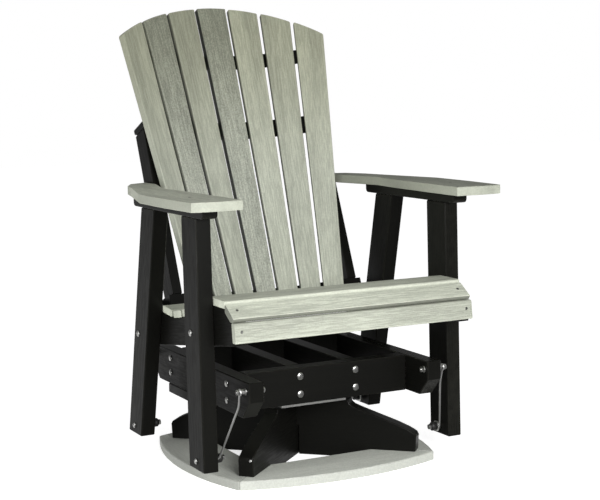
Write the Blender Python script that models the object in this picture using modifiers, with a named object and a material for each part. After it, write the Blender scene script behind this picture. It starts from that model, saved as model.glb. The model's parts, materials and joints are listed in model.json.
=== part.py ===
"""Swivel glider: a slatted armchair hung on four links from a frame that turns on a ring base.

Metres, +Z up. The chair faces -Y, and the turning axis is the Z axis, with the floor at Z = 0.
Left and right are as seen from the front.
"""

from math import asin, atan2, copysign, cos, pi, radians, sin, sqrt, tan

import bmesh
import bpy
from mathutils import Matrix, Vector

for old in list(bpy.data.objects):
    bpy.data.objects.remove(old, do_unlink=True)

# Clearances and edges shared by all pieces
FIT = 0.0003
OVERRUN = 0.01
MERGE = 0.00001
BOARD = 0.038
BOARD_EDGE = 0.002
SLAT_EDGE = 0.004
EASE_ANGLE = radians(40)
ROUND_STEPS = 12
WIDE_STEPS = 32

# Floor ring of four mitred boards
RING_THICK = 0.0223
RING_WIDTH = 0.536
RING_DEPTH = 0.502
RING_BOARD_WIDTH = 0.098
RING_BULGE = 0.047

# Pedestal boards, crossed on the ring's diagonals
PEDESTAL_HEIGHT = 0.149
PEDESTAL_REACH = 0.3260
PEDESTAL_RING_GAP = 0.002
FOOT_UNDERCUT = 0.002
# Share of the reach from the middle, and of the height
PEDESTAL_TOP_SHARES = (
    (1.000, 0.410),
    (0.990, 0.458),
    (0.968, 0.490),
    (0.930, 0.535),
    (0.842, 0.616),
    (0.687, 0.736),
    (0.570, 0.826),
    (0.500, 0.886),
    (0.478, 0.925),
    (0.465, 1.000),
)

# Turning bearing: two steel plates with a race on each
PLATE_WIDTH = 0.180
PLATE_DEPTH = 0.242
PLATE_THICK = 0.0055
PLATE_BORE = 0.045
TOP_PLATE_WIDTH = 0.200
TOP_PLATE_DEPTH = 0.250
RACE_HEIGHT = 0.0136
RACE_RADIUS = 0.085
RACE_WALL = 0.018
RACE_CLEAR = 0.001

# Glider frame
FRAME_HEIGHT = 0.089
RAIL_LEG_GAP = 0.0564
RAIL_REACH = 0.299
RAIL_CHAMFER_RUN = 0.0405
RAIL_CHAMFER_RISE = 0.0433
APRON_OUTER = 0.197
BEAM_OFFSET = 0.0763
BLOCK_THICK = 0.0238
BLOCK_LENGTH = 0.140

# Links and their pivots
TOP_EYE_OFFSET = 0.0154
TOP_PIVOT_INSET = 0.019
TOP_PIVOT_DROP = 0.0220
LOWER_EYE_OFFSET = 0.009
LOWER_PIVOT_REACH = 0.202
LOWER_PIVOT_HEIGHT = 0.072
EYE_RADIUS = 0.009
EYE_WIDTH = 0.007
FOOT_EYE_RADIUS = 0.0135
LOOSE_EYE_RADIUS = 0.0155
LOOSE_EYE_PLAY = 0.0025
ROD_RADIUS = 0.0024
# Share of the drop from eye to eye, of the way outwards and of the way towards the middle
LINK_BEND_SHARES = (
    (0.10, 0.00, 0.045),
    (0.22, 0.00, 0.120),
    (0.36, 0.16, 0.240),
    (0.89, 0.82, 0.685),
    (0.965, 0.93, 0.790),
)
ROD_FOOT_GAP = 0.01053
BOLT_RADIUS = 0.004
BOLT_HEAD_RADIUS = 0.0068
BOLT_HEAD_HEIGHT = 0.0045
NUT_RADIUS = 0.0065
NUT_HEIGHT = 0.006
INNER_NUT_HEIGHT = 0.0105
SPACER_RADIUS = 0.011
SPACER_LENGTH = 0.0142

# Legs, whose inner faces set the width of the seat, the frame and the back
LEG_INNER = 0.316
LEG_DEPTH = 0.0853
LEG_BOTTOM = 0.051
LEG_TOP = 0.6427
LEG_PIVOT_INSET = 0.0425
FRONT_LEG_LEAN = 0.0135
REAR_LEG_LEAN = 0.1355

# Arms and the cleats under them
CLEAT_HEIGHT = 0.0238
CLEAT_FRONT_OVERHANG = 0.042
CLEAT_REAR_OVERHANG = 0.0527
CLEAT_ROUND = 0.010
ARM_THICK = 0.022
ARM_FRONT = -0.338
ARM_REAR = 0.300
ARM_INSET = 0.033
ARM_WIDTH = 0.125
ARM_BULGE = 0.005
# Each pair is a share of the arm's width, out from its inner front corner, and of its length from the front
ARM_OUTER_SHARES = ((1.060, 0.230), (1.060, 0.462), (0.632, 0.776), (0.520, 0.870), (0.280, 0.964))
ARM_INNER_SHARES = ((0.176, 0.660), (0.080, 0.478))
ARM_POST_SHARE = 0.885

# Seat: top edges of the slats, front to rear, in y and z
SLAT_THICK = 0.0175
SEAT_RAIL = 0.0377
SEAT_TOP = 0.4585
SEAT_EDGE_Y = -0.297
TOP_SLAT_WIDTH = 0.089
FRONT_SLAT_DROP = 0.0438
FRONT_SLAT_HEIGHT = 0.0462
FRONT_SLAT_OVERHANG = 0.0520
FRONT_SLAT_RAKE = 0.0055
SLANT_DROP = 0.0048
SLANT_ANGLE = radians(32.7)
SLANT_LIP = 0.0094
SLAT_GAP = 0.0075
SEAT_SLAT_WIDTH = 0.0500
REAR_SLAT_WIDTH = 0.0600
SEAT_SLOPES = (radians(-18.5), radians(-18.5), radians(-18.5), radians(-10.0), radians(4.5))
SEAT_ROUND = 0.005
NOSE_ROUND = 0.006
LIP_ROUND = 0.002
RAIL_UNDER_DROP = 0.1484
RAIL_UNDER_SLOPE = 0.153
SEAT_RAIL_REAR = 0.212
SEAT_RAIL_REAR_RISE = 0.010

# Back: a leaning, hollow fan of slats on three cross rails
BACK_FOOT_Y = 0.1393
BACK_FOOT_DROP = 0.0599
BACK_LEAN = radians(22.96)
BACK_HOLLOW = 0.700
BACK_SLATS = 7
BACK_SIDE_GAP = 0.0554
FAN_SPREAD = 0.0286
BACK_SLAT_GAP = 0.0088
BACK_SLAT_THICK = 0.020
BACK_FOOT = -0.026
BACK_APEX = 0.8135
BACK_ARCH = 0.470
BACK_RAIL_DEPTH = 0.0566
UPPER_RAIL_DEPTH = 0.0450
BOTTOM_RAIL_TOP = 0.012
LOWER_RAIL_BOTTOM = 0.434
LOWER_RAIL_TOP = 0.4845
UPPER_RAIL_BOTTOM = 0.638
UPPER_RAIL_TOP = 0.680
UPPER_RAIL_INSET = 0.021
POST_INSET = 0.012
POST_THICK = 0.025
POST_FRONT = 0.014
POST_DEPTH = 0.064
POST_TOP = 0.465

# Heights that follow from the stack of pieces
BASE_PLATE_Z = PEDESTAL_HEIGHT + FIT
TOP_PLATE_Z = BASE_PLATE_Z + PLATE_THICK + RACE_HEIGHT
FRAME_Z = TOP_PLATE_Z + PLATE_THICK + FIT
FRAME_TOP = FRAME_Z + FRAME_HEIGHT
TOP_PIVOT_Z = FRAME_TOP - TOP_PIVOT_DROP
CLEAT_Z = LEG_TOP + FIT
ARM_Z = CLEAT_Z + CLEAT_HEIGHT + FIT
SLANT_TOP = SEAT_TOP - SLANT_DROP
FRONT_SLAT_TOP = SEAT_TOP - FRONT_SLAT_DROP
FRONT_SLAT_BOTTOM = FRONT_SLAT_TOP - FRONT_SLAT_HEIGHT
RAIL_UNDER_Z = SEAT_TOP - RAIL_UNDER_DROP
BACK_FOOT_Z = SEAT_TOP - BACK_FOOT_DROP

# Places across, out from the middle, that follow from the legs
LEG_OUTER = LEG_INNER + BOARD
RAIL_OUTER = LEG_INNER - RAIL_LEG_GAP
RAIL_INNER = RAIL_OUTER - BOARD
TOP_PIVOT_X = RAIL_OUTER + TOP_EYE_OFFSET
LOWER_PIVOT_X = LEG_INNER - LOWER_EYE_OFFSET
ARM_INNER = LEG_INNER - ARM_INSET
SEAT_HALF = LEG_INNER - FIT
SEAT_RAIL_INNER = SEAT_HALF - SEAT_RAIL
POST_OUTER = SEAT_RAIL_INNER - POST_INSET
POST_INNER = POST_OUTER - POST_THICK
UPPER_RAIL_HALF = POST_OUTER - UPPER_RAIL_INSET
FOOT_PITCH = (SEAT_RAIL_INNER - BACK_SIDE_GAP) * 2 / BACK_SLATS
HEAD_PITCH = FOOT_PITCH + FAN_SPREAD

# Places along, front to rear
TOP_PIVOT_REACH = RAIL_REACH - TOP_PIVOT_INSET
FRONT_LEG_BOTTOM_Y = -LOWER_PIVOT_REACH - LEG_PIVOT_INSET
FRONT_LEG_TOP_Y = FRONT_LEG_BOTTOM_Y + FRONT_LEG_LEAN
REAR_LEG_BOTTOM_Y = LOWER_PIVOT_REACH - LEG_PIVOT_INSET
REAR_LEG_TOP_Y = REAR_LEG_BOTTOM_Y - REAR_LEG_LEAN
CLEAT_FRONT = FRONT_LEG_TOP_Y - CLEAT_FRONT_OVERHANG
CLEAT_REAR = REAR_LEG_TOP_Y + LEG_DEPTH + CLEAT_REAR_OVERHANG
FRONT_SLAT_TOP_Y = SEAT_EDGE_Y - FRONT_SLAT_OVERHANG
FRONT_SLAT_BOTTOM_Y = FRONT_SLAT_TOP_Y - FRONT_SLAT_RAKE

BORE_RADIUS = BOLT_RADIUS + FIT

# Joint axes: each is parallel to X, except the turning axis
FRONT_SWING = Vector((0, -TOP_PIVOT_REACH, TOP_PIVOT_Z))
REAR_SWING = Vector((0, TOP_PIVOT_REACH, TOP_PIVOT_Z))
SEAT_LEVEL = Vector((0, -LOWER_PIVOT_REACH, LOWER_PIVOT_HEIGHT))
REAR_LOWER = Vector((0, LOWER_PIVOT_REACH, LOWER_PIVOT_HEIGHT))

SIDES = ((-1, "left"), (1, "right"))

parts = bpy.data.collections.new("swivel_glider")
cutters = bpy.data.collections.new("cutters")
bpy.context.scene.collection.children.link(parts)
bpy.context.scene.collection.children.link(cutters)


def make_material(name, colour, roughness, metallic=0.0):
    made = bpy.data.materials.new(name)
    made.use_nodes = True
    shader = made.node_tree.nodes["Principled BSDF"]
    shader.inputs["Base Color"].default_value = (*colour, 1)
    shader.inputs["Roughness"].default_value = roughness
    shader.inputs["Metallic"].default_value = metallic
    return made


LIGHT = make_material("light_board", (0.47, 0.50, 0.43), 0.55)
GREY = make_material("grey_board", (0.33, 0.35, 0.30), 0.55)
BLACK = make_material("black_board", (0.012, 0.012, 0.012), 0.45)
STEEL = make_material("bright_steel", (0.62, 0.62, 0.60), 0.28, 1.0)


def make_body(name, place, carrier=None):
    """An empty on the axis about which the body's pieces move."""
    empty = bpy.data.objects.new(name, None)
    empty.empty_display_size = BOARD
    empty["place"] = place
    if carrier:
        empty.parent = carrier
        empty.location = place - Vector(carrier["place"])
    parts.objects.link(empty)
    return empty


BASE = make_body("base_body", Vector((0, 0, 0)))
FRAME = make_body("frame_body", Vector((0, 0, 0)), BASE)
FRONT_LINKS = make_body("front_links_body", FRONT_SWING, FRAME)
REAR_LINKS = make_body("rear_links_body", REAR_SWING, FRAME)
CHAIR = make_body("chair_body", SEAT_LEVEL, FRONT_LINKS)


def plane(across, up, origin=(0, 0, 0)):
    """Matrix whose local X and Y are two world directions, and local Z their cross product."""
    across = Vector(across).normalized()
    up = Vector(up).normalized()
    made = Matrix((across, up, across.cross(up))).transposed().to_4x4()
    made.translation = Vector(origin)
    return made


FLAT = plane((1, 0, 0), (0, 1, 0))
SIDE = plane((0, 1, 0), (0, 0, 1))
FRONT = plane((-1, 0, 0), (0, 0, 1))
BACK = plane((1, 0, 0), (0, sin(BACK_LEAN), cos(BACK_LEAN)), (0, BACK_FOOT_Y, BACK_FOOT_Z))
BACK_SIDE = BACK @ plane((0, 1, 0), (0, 0, 1))
BACK_LEVEL = BACK @ plane((1, 0, 0), (0, 0, -1))


def add_piece(name, mesh, place, colour, body):
    """The mesh as a named object, hung on its body's empty."""
    piece = bpy.data.objects.new(name, mesh)
    mesh.materials.clear()
    mesh.materials.append(colour)
    piece.parent = body
    piece.matrix_basis = Matrix.Translation(-Vector(body["place"])) @ place
    parts.objects.link(piece)
    return piece


def outline_mesh(name, outlines, low, high):
    """Solid between two levels of local Z, from a closed outline and any holes in it."""
    curve = bpy.data.curves.new(name, "CURVE")
    curve.dimensions = "2D"
    curve.fill_mode = "BOTH"
    curve.extrude = (high - low) / 2
    for outline in outlines:
        spline = curve.splines.new("POLY")
        spline.points.add(len(outline) - 1)
        for point, (u, v) in zip(spline.points, outline):
            point.co = (u, v, 0, 1)
        spline.use_cyclic_u = True
    return curve_mesh(name, curve, Matrix.Translation((0, 0, (high + low) / 2)))


def curve_mesh(name, curve, shift=Matrix()):
    """Closed mesh of a curve, its caps welded to its sides."""
    guide = bpy.data.objects.new(name, curve)
    cutters.objects.link(guide)
    solid = bpy.data.meshes.new_from_object(guide.evaluated_get(bpy.context.evaluated_depsgraph_get()))
    work = bmesh.new()
    work.from_mesh(solid)
    bmesh.ops.remove_doubles(work, verts=work.verts, dist=MERGE)
    bmesh.ops.recalc_face_normals(work, faces=work.faces)
    bmesh.ops.transform(work, matrix=shift, verts=work.verts)
    work.to_mesh(solid)
    work.free()
    bpy.data.objects.remove(guide)
    return solid


def ease_edges(piece, width, segments=1):
    """Bevels the corners that stand out, and leaves the inner ones sharp for what fits in them."""
    work = bmesh.new()
    work.from_mesh(piece.data)
    weight = work.edges.layers.float.new("bevel_weight_edge")
    for edge in work.edges:
        edge[weight] = edge.is_convex and edge.calc_face_angle() > EASE_ANGLE
    work.to_mesh(piece.data)
    work.free()
    bevel = piece.modifiers.new("eased edges", "BEVEL")
    bevel.width = width
    bevel.segments = segments
    bevel.limit_method = "WEIGHT"


def board(name, outline, low, high, place, colour, body, edge=BOARD_EDGE, holes=(), segments=1):
    """A flat board: an outline in the place's XY plane, solid from low to high, with eased edges."""
    piece = add_piece(name, outline_mesh(name, [outline, *holes], low, high), place, colour, body)
    if edge:
        ease_edges(piece, edge, segments)
    return piece


def rectangle(left, right, bottom, top):
    return [(left, bottom), (right, bottom), (right, top), (left, top)]


def arc(centre, radius, start, end, steps):
    """Points on an arc, both ends included."""
    turns = [start + (end - start) * step / steps for step in range(steps + 1)]
    return [(centre[0] + radius * cos(turn), centre[1] + radius * sin(turn)) for turn in turns]


def circle(centre, radius, steps=ROUND_STEPS):
    return arc(centre, radius, 0, 2 * pi, steps)[:-1]


def rounded(points, radii, steps=3):
    """The outline with each corner turned into an arc of its own radius."""
    result = []
    for index, (corner, radius) in enumerate(zip(points, radii)):
        here = Vector(corner)
        if not radius:
            result.append(tuple(here))
            continue
        before = (Vector(points[index - 1]) - here).normalized()
        after = (Vector(points[(index + 1) % len(points)]) - here).normalized()
        half = before.angle(after) / 2
        centre = here + (before + after).normalized() * radius / sin(half)
        first = here + before * radius / tan(half) - centre
        last = here + after * radius / tan(half) - centre
        sweep = first.angle_signed(last)
        for step in range(steps + 1):
            turn = Matrix.Rotation(-sweep * step / steps, 2)
            result.append(tuple(centre + turn @ first))
    return result


def turned(name, profile, place, colour, body):
    """A solid of revolution about local Z: the profile gives radius and height, from bottom to top."""
    mesh = bpy.data.meshes.new(name)
    points = [(radius, 0, height) for radius, height in reversed(profile)]
    mesh.from_pydata(points, [(index, index + 1) for index in range(len(points) - 1)], [])
    piece = add_piece(name, mesh, place, colour, body)
    screw = piece.modifiers.new("turned", "SCREW")
    screw.steps = ROUND_STEPS
    screw.render_steps = ROUND_STEPS
    screw.use_merge_vertices = True
    screw.merge_threshold = MERGE
    return piece


def cutter(name, mesh, place):
    """A helper solid for Booleans, kept out of the model."""
    tool = bpy.data.objects.new(name, mesh)
    tool.matrix_world = place
    tool.hide_render = True
    tool.display_type = "WIRE"
    cutters.objects.link(tool)
    return tool


def combine(piece, tool, operation="DIFFERENCE"):
    boolean = piece.modifiers.new(tool.name, "BOOLEAN")
    boolean.operation = operation
    boolean.object = tool


def cylinder_mesh(name, radius, low, high):
    return outline_mesh(name, [circle((0, 0), radius)], low, high)


def at(place, x=0, y=0, z=0):
    return Matrix.Translation((x, y, z)) @ place


def ring_base():
    """Four boards with straight inner edges, bowed outer edges and mitred ends."""
    for side, length, reach, quarter in (
        ("front", RING_WIDTH, RING_DEPTH / 2, 0),
        ("right", RING_DEPTH, RING_WIDTH / 2, 1),
        ("rear", RING_WIDTH, RING_DEPTH / 2, 2),
        ("left", RING_DEPTH, RING_WIDTH / 2, 3),
    ):
        bow = (length**2 / 4 + RING_BULGE**2) / (2 * RING_BULGE)
        half = asin((length / 2 - FIT) / bow)
        outline = arc((0, bow - RING_BULGE - reach), bow, -pi / 2 - half, -pi / 2 + half, 10)
        inner = length / 2 - RING_BOARD_WIDTH - FIT
        outline += [(inner, RING_BOARD_WIDTH - reach), (-inner, RING_BOARD_WIDTH - reach)]
        turn = Matrix.Rotation(quarter * pi / 2, 4, "Z")
        board(f"ring_board_{side}", outline, 0, RING_THICK, turn, LIGHT, BASE)


def pedestal():
    """Two boards on edge, with a step over the ring, halved where they cross."""
    turn = atan2(RING_DEPTH, RING_WIDTH)
    across = (RING_WIDTH / 2 - RING_BOARD_WIDTH - BOARD / 2 * sin(turn)) / cos(turn)
    along = (RING_DEPTH / 2 - RING_BOARD_WIDTH - BOARD / 2 * cos(turn)) / sin(turn)
    step = min(across, along) - PEDESTAL_RING_GAP
    foot = RING_THICK + FIT
    slope = [(PEDESTAL_REACH * along, PEDESTAL_HEIGHT * up) for along, up in PEDESTAL_TOP_SHARES]
    toe = PEDESTAL_REACH - FOOT_UNDERCUT
    half = BOARD / 2 * (1 / sin(2 * turn) + 1 / tan(2 * turn)) + FIT
    lap = PEDESTAL_HEIGHT / 2
    right = [(step, 0), (step, foot), (toe, foot), *slope]
    left = [(-along, up) for along, up in reversed(right)]
    notch_up = [(half, PEDESTAL_HEIGHT), (half, lap), (-half, lap), (-half, PEDESTAL_HEIGHT)]
    notch_down = [(-half, 0), (-half, lap + FIT), (half, lap + FIT), (half, 0)]
    for name, angle, outline in (
        ("pedestal_board_a", turn, right + notch_up + left),
        ("pedestal_board_b", -turn, right + left + notch_down),
    ):
        place = Matrix.Rotation(angle, 4, "Z") @ plane((1, 0, 0), (0, 0, 1))
        board(name, outline, -BOARD / 2, BOARD / 2, place, BLACK, BASE)


def bearing():
    """Two plates: a wide race stands on the lower one, and a smaller one hangs inside it."""
    bore = circle((0, 0), PLATE_BORE, WIDE_STEPS)
    for name, width, depth, level, low, high, outer, body in (
        (
            "swivel_base_plate",
            PLATE_WIDTH,
            PLATE_DEPTH,
            BASE_PLATE_Z,
            BASE_PLATE_Z + PLATE_THICK / 2,
            TOP_PLATE_Z - RACE_CLEAR,
            RACE_RADIUS + RACE_WALL,
            BASE,
        ),
        (
            "swivel_top_plate",
            TOP_PLATE_WIDTH,
            TOP_PLATE_DEPTH,
            TOP_PLATE_Z,
            BASE_PLATE_Z + PLATE_THICK + FIT,
            TOP_PLATE_Z + PLATE_THICK / 2,
            RACE_RADIUS - RACE_CLEAR,
            FRAME,
        ),
    ):
        outline = rectangle(-width / 2, width / 2, -depth / 2, depth / 2)
        plate = board(name, outline, level, level + PLATE_THICK, FLAT, STEEL, body, edge=0, holes=[bore])
        rims = [circle((0, 0), radius, WIDE_STEPS) for radius in (outer, outer - RACE_WALL)]
        race = cutter(name + "_race", outline_mesh(name + "_race", rims, low, high), FLAT)
        combine(plate, race, "UNION")


def glider_frame():
    """Two chamfered rails with a block under each, two aprons between them and two beams between those."""
    shoulder = FRAME_Z + RAIL_CHAMFER_RISE
    outline = [
        (RAIL_CHAMFER_RUN - RAIL_REACH, FRAME_Z),
        (RAIL_REACH - RAIL_CHAMFER_RUN, FRAME_Z),
        (RAIL_REACH, shoulder),
        (RAIL_REACH, FRAME_TOP),
        (-RAIL_REACH, FRAME_TOP),
        (-RAIL_REACH, shoulder),
    ]
    pins = [circle((pivot.y, pivot.z), BORE_RADIUS) for pivot in (FRONT_SWING, REAR_SWING)]
    block = rectangle(APRON_OUTER - BLOCK_LENGTH, APRON_OUTER, FRAME_Z - FIT - BLOCK_THICK, FRAME_Z - FIT)
    for side, word in SIDES:
        low, high = sorted((side * RAIL_INNER, side * RAIL_OUTER))
        board(f"frame_rail_{word}", outline, low, high, SIDE, BLACK, FRAME, holes=pins)
        board(f"frame_block_{word}", block, low, high, SIDE, BLACK, FRAME)
    panel = rectangle(FIT - RAIL_INNER, RAIL_INNER - FIT, FRAME_Z, FRAME_TOP)
    apron_inner = APRON_OUTER - BOARD
    board("apron_front", panel, -APRON_OUTER, -apron_inner, FRONT, BLACK, FRAME)
    board("apron_rear", panel, apron_inner, APRON_OUTER, FRONT, BLACK, FRAME)
    section = rectangle(FIT - apron_inner, apron_inner - FIT, FRAME_Z, FRAME_TOP)
    for side, word in SIDES:
        middle = side * BEAM_OFFSET
        board(f"beam_{word}", section, middle - BOARD / 2, middle + BOARD / 2, SIDE, BLACK, FRAME)


def stepped_pin(stations):
    """Profile of a bolt from (radius, start, end) stretches that follow each other."""
    profile = [(0, stations[0][1])]
    for radius, start, end in stations:
        profile += [(radius, start), (radius, end)]
    return profile + [(0, stations[-1][2])]


def pivots():
    """Bolts with spacers and nuts: four in the frame rails and four in the legs."""
    for side, word in SIDES:
        outward = plane((0, side, 0), (0, 0, 1))
        for end, swing, lower in (("front", FRONT_SWING, SEAT_LEVEL), ("rear", REAR_SWING, REAR_LOWER)):
            eye_in = TOP_PIVOT_X - EYE_WIDTH / 2 - FIT
            eye_out = TOP_PIVOT_X + EYE_WIDTH / 2 + FIT
            stations = [
                (NUT_RADIUS, RAIL_INNER - FIT - INNER_NUT_HEIGHT, RAIL_INNER - FIT),
                (BOLT_RADIUS, RAIL_INNER - FIT, RAIL_OUTER + FIT),
                (NUT_RADIUS, RAIL_OUTER + FIT, eye_in),
                (BOLT_RADIUS, eye_in, eye_out),
                (NUT_RADIUS, eye_out, eye_out + NUT_HEIGHT),
            ]
            place = at(outward, y=swing.y, z=swing.z)
            turned(f"top_pivot_bolt_{end}_{word}", stepped_pin(stations), place, STEEL, FRAME)
            eye_in = LOWER_PIVOT_X - EYE_WIDTH / 2 - FIT
            eye_out = LOWER_PIVOT_X + EYE_WIDTH / 2 + FIT
            stations = [
                (NUT_RADIUS, eye_in - SPACER_LENGTH - NUT_HEIGHT, eye_in - SPACER_LENGTH),
                (SPACER_RADIUS, eye_in - SPACER_LENGTH, eye_in),
                (BOLT_RADIUS, eye_in, eye_out),
                (NUT_RADIUS, eye_out, LEG_INNER - FIT),
                (BOLT_RADIUS, LEG_INNER - FIT, LEG_OUTER + FIT),
                (BOLT_HEAD_RADIUS, LEG_OUTER + FIT, LEG_OUTER + FIT + BOLT_HEAD_HEIGHT),
            ]
            place = at(outward, y=lower.y, z=lower.z)
            turned(f"lower_pivot_bolt_{end}_{word}", stepped_pin(stations), place, STEEL, CHAIR)


def links():
    """Bent rods with an eye at each end. The rear lower eyes are wide: the loop of links is open there."""
    half = EYE_WIDTH / 2
    for side, word in SIDES:
        for end, swing, lower, body in (
            ("front", FRONT_SWING, SEAT_LEVEL, FRONT_LINKS),
            ("rear", REAR_SWING, REAR_LOWER, REAR_LINKS),
        ):
            name = f"link_{end}_{word}"
            top = Vector((side * TOP_PIVOT_X, swing.y, swing.z))
            foot = Vector((side * LOWER_PIVOT_X, lower.y, lower.z))
            run = foot - top
            route = [top]
            for drop, across, along in LINK_BEND_SHARES:
                route.append(top + Vector((across * run.x, along * run.y, drop * run.z)))
            route.append(foot - Vector((0, copysign(ROD_FOOT_GAP, run.y), 0)))
            loose = end == "rear"
            foot_radius = LOOSE_EYE_RADIUS if loose else FOOT_EYE_RADIUS
            foot_bore = BORE_RADIUS + LOOSE_EYE_PLAY if loose else BORE_RADIUS
            play = LOOSE_EYE_PLAY if loose else 0
            curve = bpy.data.curves.new(name, "CURVE")
            curve.dimensions = "3D"
            curve.bevel_depth = ROD_RADIUS
            curve.bevel_resolution = 2
            curve.use_fill_caps = True
            spline = curve.splines.new("POLY")
            spline.points.add(len(route) - 1)
            for point, place in zip(spline.points, route):
                point.co = (*place, 1)
            link = add_piece(name, curve_mesh(name, curve), Matrix(), STEEL, body)
            spots = (
                ("top", top, EYE_RADIUS, BORE_RADIUS),
                ("foot", foot - Vector((0, play, 0)), foot_radius, foot_bore),
            )
            for level, spot, radius, _ in spots:
                eye = cylinder_mesh("eye", radius, -half, half)
                combine(link, cutter(f"{name}_{level}_eye", eye, at(SIDE, *spot)), "UNION")
            for level, spot, _, bore in spots:
                hole = cylinder_mesh("eye_bore", bore, -half - OVERRUN, half + OVERRUN)
                combine(link, cutter(f"{name}_{level}_bore", hole, at(SIDE, *spot)))


def legs():
    """Four leaning legs, cut level at both ends, bored for the lower pivots."""
    for side, word in SIDES:
        low, high = sorted((side * LEG_INNER, side * LEG_OUTER))
        for end, foot_y, head_y, pivot in (
            ("front", FRONT_LEG_BOTTOM_Y, FRONT_LEG_TOP_Y, SEAT_LEVEL),
            ("rear", REAR_LEG_BOTTOM_Y, REAR_LEG_TOP_Y, REAR_LOWER),
        ):
            outline = [
                (foot_y, LEG_BOTTOM),
                (foot_y + LEG_DEPTH, LEG_BOTTOM),
                (head_y + LEG_DEPTH, LEG_TOP),
                (head_y, LEG_TOP),
            ]
            bore = circle((pivot.y, pivot.z), BORE_RADIUS)
            board(f"leg_{end}_{word}", outline, low, high, SIDE, BLACK, CHAIR, holes=[bore])


def arms():
    """Shaped arm boards on cleats that join the legs' tops. Each arm ends beside its back post."""
    cleat = rounded(
        rectangle(CLEAT_FRONT, CLEAT_REAR, CLEAT_Z, CLEAT_Z + CLEAT_HEIGHT),
        (CLEAT_ROUND, CLEAT_ROUND, 0, 0),
    )
    length = ARM_REAR - ARM_FRONT
    post_face = POST_OUTER + FIT

    def spot(across, along):
        return (ARM_INNER + across * ARM_WIDTH, ARM_FRONT + along * length)

    bow = (ARM_WIDTH**2 / 4 + ARM_BULGE**2) / (2 * ARM_BULGE)
    half = asin(ARM_WIDTH / 2 / bow)
    middle = ARM_INNER + ARM_WIDTH / 2
    front = arc((middle, ARM_FRONT + bow - ARM_BULGE), bow, -pi / 2 - half, -pi / 2 + half, 4)
    outline = front + [spot(*share) for share in ARM_OUTER_SHARES]
    outline += [(post_face, ARM_REAR), (post_face, ARM_FRONT + ARM_POST_SHARE * length)]
    outline += [spot(*share) for share in ARM_INNER_SHARES]
    for side, word in SIDES:
        low, high = sorted((side * LEG_INNER, side * LEG_OUTER))
        board(f"arm_cleat_{word}", cleat, low, high, SIDE, BLACK, CHAIR)
        shape = [(side * x, y) for x, y in outline]
        board(f"arm_{word}", shape, ARM_Z, ARM_Z + ARM_THICK, FLAT, LIGHT, CHAIR, edge=SLAT_EDGE, segments=2)


def seat_sections():
    """Cross-sections of the seat slats in y and z, front to rear, each from its lower front corner round."""
    lean = Vector((FRONT_SLAT_TOP_Y - FRONT_SLAT_BOTTOM_Y, FRONT_SLAT_TOP - FIT - FRONT_SLAT_BOTTOM))
    thick = SLAT_THICK * lean.length / lean.y
    front = [
        (FRONT_SLAT_BOTTOM_Y, FRONT_SLAT_BOTTOM),
        (FRONT_SLAT_BOTTOM_Y + thick, FRONT_SLAT_BOTTOM),
        (FRONT_SLAT_TOP_Y + thick, FRONT_SLAT_TOP - FIT),
        (FRONT_SLAT_TOP_Y, FRONT_SLAT_TOP - FIT),
    ]
    slant_y = SEAT_EDGE_Y - FIT
    under = SLAT_THICK / cos(SLANT_ANGLE)
    lip_y = slant_y - (SLANT_TOP - FRONT_SLAT_TOP - SLANT_LIP) / tan(SLANT_ANGLE)
    slant = [
        (lip_y + SLANT_LIP * tan(SLANT_ANGLE), FRONT_SLAT_TOP),
        (slant_y - (SLANT_TOP - under - FRONT_SLAT_TOP) / tan(SLANT_ANGLE), FRONT_SLAT_TOP),
        (slant_y, SLANT_TOP - under),
        (slant_y, SLANT_TOP),
        (lip_y, FRONT_SLAT_TOP + SLANT_LIP),
    ]
    top_rear = SEAT_EDGE_Y + TOP_SLAT_WIDTH
    top = rectangle(SEAT_EDGE_Y, top_rear, SEAT_TOP - SLAT_THICK, SEAT_TOP)
    sections = [(front, SEAT_ROUND), (slant, LIP_ROUND), (top, NOSE_ROUND)]
    heel = Vector((top_rear, SEAT_TOP))
    for index, slope in enumerate(SEAT_SLOPES):
        last = index == len(SEAT_SLOPES) - 1
        width = REAR_SLAT_WIDTH if last else SEAT_SLAT_WIDTH
        along = Vector((cos(slope), sin(slope)))
        down = Vector((sin(slope), -cos(slope))) * SLAT_THICK
        start = heel + along * SLAT_GAP
        end = start + along * width
        corners = [start + down, end + down, end, start]
        sections.append(([tuple(corner) for corner in corners], SEAT_ROUND))
        heel = end
    return sections


def seat():
    """Eight slats across two rails, whose upper edges follow the undersides of the slats."""
    sections = seat_sections()
    for index, (corners, nose) in enumerate(sections):
        outline = rounded(corners, (*[SLAT_EDGE] * (len(corners) - 1), nose))
        name = f"seat_slat_{index + 1}"
        board(name, outline, -SEAT_HALF, SEAT_HALF, SIDE, LIGHT, CHAIR, edge=0)
    front, slant = sections[0][0], sections[1][0]
    lean = (front[2][0] - front[1][0]) / (front[2][1] - front[1][1])

    def face(height):
        return (front[1][0] + (height - front[1][1]) * lean + FIT, height)

    def under(y):
        return (y, RAIL_UNDER_Z - RAIL_UNDER_SLOPE * y)

    toe = face(under(front[1][0])[1])
    edge = [toe, face(front[2][1]), (slant[1][0], front[2][1]), (slant[2][0] + FIT, slant[2][1] - FIT)]
    edge.append((slant[2][0] + FIT, sections[2][0][0][1] - FIT))
    for corners, _ in sections[2:]:
        low = Vector(corners[0]) - Vector(corners[3])
        shift = low.normalized() * FIT
        if corners is not sections[2][0]:
            edge.append(tuple(Vector(corners[0]) + shift))
        edge.append(tuple(Vector(corners[1]) + shift))
    edge.append((SEAT_RAIL_REAR, edge[-1][1] + SEAT_RAIL_REAR_RISE))
    edge.append(under(SEAT_RAIL_REAR))
    for side, word in SIDES:
        low, high = sorted((side * SEAT_RAIL_INNER, side * SEAT_HALF))
        board(f"seat_rail_{word}", edge, low, high, SIDE, BLACK, CHAIR)


def fan_pitch(height):
    return FOOT_PITCH + (HEAD_PITCH - FOOT_PITCH) * height / BACK_APEX


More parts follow.
